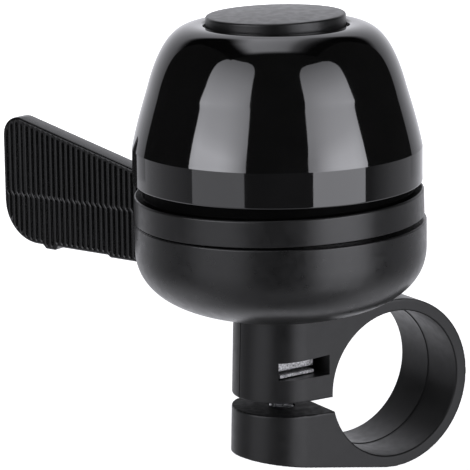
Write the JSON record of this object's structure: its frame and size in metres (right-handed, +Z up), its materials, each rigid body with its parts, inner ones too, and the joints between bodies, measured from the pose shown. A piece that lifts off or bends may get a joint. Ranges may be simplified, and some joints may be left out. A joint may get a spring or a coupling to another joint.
{
  "type": "bicycle bell",
  "caption": "Rotary handlebar bell with a thumb lever whose gear train whirls loose clappers round inside a domed gong.",
  "frame": {"origin": "centre of the handlebar clamp's bore", "axes": "+Y along the handlebar, +Z up along the bell's own axis, +X from the bell towards the handlebar"},
  "size_m": [0.0503, 0.0709, 0.0698],
  "materials": {
    "handlebar_clamp": "satin black moulded plastic",
    "clamp_screw": "bright zinc plating",
    "clamp_nut": "bright zinc plating",
    "nut_plate": "bright zinc plating",
    "lower_bowl": "satin black moulded plastic",
    "mechanism_cover": "satin black moulded plastic",
    "dome": "gloss black paint",
    "dome_cap": "satin black moulded plastic",
    "dome_nut": "bright zinc plating",
    "dome_washer": "bright zinc plating",
    "dome_spacer": "bright zinc plating",
    "centre_stud": "bright zinc plating",
    "base_nut": "bright zinc plating",
    "base_washer": "bright zinc plating",
    "mechanism_plate": "plain steel",
    "cover_post_1": "turned brass",
    "cover_post_2": "turned brass",
    "cover_post_3": "turned brass",
    "cover_screw_1": "bright zinc plating",
    "cover_screw_2": "bright zinc plating",
    "cover_screw_3": "bright zinc plating",
    "lever_pivot_pin": "plain steel",
    "spring_post": "plain steel",
    "idler_pin": "plain steel",
    "idler_clip": "plain steel",
    "rotor_spacer": "turned brass",
    "rotor_clip": "plain steel",
    "lever_spring": "plain steel",
    "thumb_lever": "satin black moulded plastic",
    "idler_gear": "natural nylon",
    "rotor": "turned brass",
    "clapper_pin_1": "bright zinc plating",
    "clapper_pin_2": "bright zinc plating",
    "clapper_1": "plain steel",
    "clapper_2": "plain steel"
  },
  "bodies": {
    "body": {"handlebar_clamp": "handlebar_clamp", "clamp_screw": "clamp_screw", "clamp_nut": "clamp_nut", "nut_plate": "nut_plate", "lower_bowl": "lower_bowl", "mechanism_cover": "mechanism_cover", "dome": "dome", "dome_cap": "dome_cap", "dome_nut": "dome_nut", "dome_washer": "dome_washer", "dome_spacer": "dome_spacer", "centre_stud": "centre_stud", "base_nut": "base_nut", "base_washer": "base_washer", "mechanism_plate": "mechanism_plate", "cover_post_1": "cover_post_1", "cover_post_2": "cover_post_2", "cover_post_3": "cover_post_3", "cover_screw_1": "cover_screw_1", "cover_screw_2": "cover_screw_2", "cover_screw_3": "cover_screw_3", "lever_pivot_pin": "lever_pivot_pin", "spring_post": "spring_post", "idler_pin": "idler_pin", "idler_clip": "idler_clip", "rotor_spacer": "rotor_spacer", "rotor_clip": "rotor_clip", "lever_spring": "lever_spring"},
    "lever": {"thumb_lever": "thumb_lever"},
    "idler": {"idler_gear": "idler_gear"},
    "rotor": {"rotor": "rotor", "clapper_pin_1": "clapper_pin_1", "clapper_pin_2": "clapper_pin_2"},
    "clapper_a": {"clapper_1": "clapper_1"},
    "clapper_b": {"clapper_2": "clapper_2"}
  },
  "joints": [
    {"name": "rotor_spin", "type": "hinge", "parent": "body", "child": "rotor", "pos_m": [-0.0157, 0, 0], "axis": [0, 0, 1], "range_deg": [-181.48, 0]},
    {"name": "lever_hinge", "type": "hinge", "parent": "body", "child": "lever", "pos_m": [-0.02079, 0.01261, 0], "axis": [0, 0, 1], "range_deg": [-35, 0], "stiffness_Nm_per_rad": 0.02, "springref_deg": 20.05, "deforming": ["lever_spring"]},
    {"name": "idler_spin", "type": "hinge", "parent": "body", "child": "idler", "pos_m": [-0.02695, 0.0011, 0], "axis": [0, 0, 1], "range_deg": [0, 109]},
    {"name": "clapper_slide_a", "type": "slide", "parent": "rotor", "child": "clapper_a", "axis": [1, 0, 0], "range_m": [0, 0.0012]},
    {"name": "clapper_slide_b", "type": "slide", "parent": "rotor", "child": "clapper_b", "axis": [-1, 0, 0], "range_m": [0, 0.0012]}
  ],
  "couplings": [
    {"joint": "lever_hinge", "follows": "rotor_spin", "ratio": 0.19286},
    {"joint": "idler_spin", "follows": "rotor_spin", "ratio": -0.6}
  ]
}
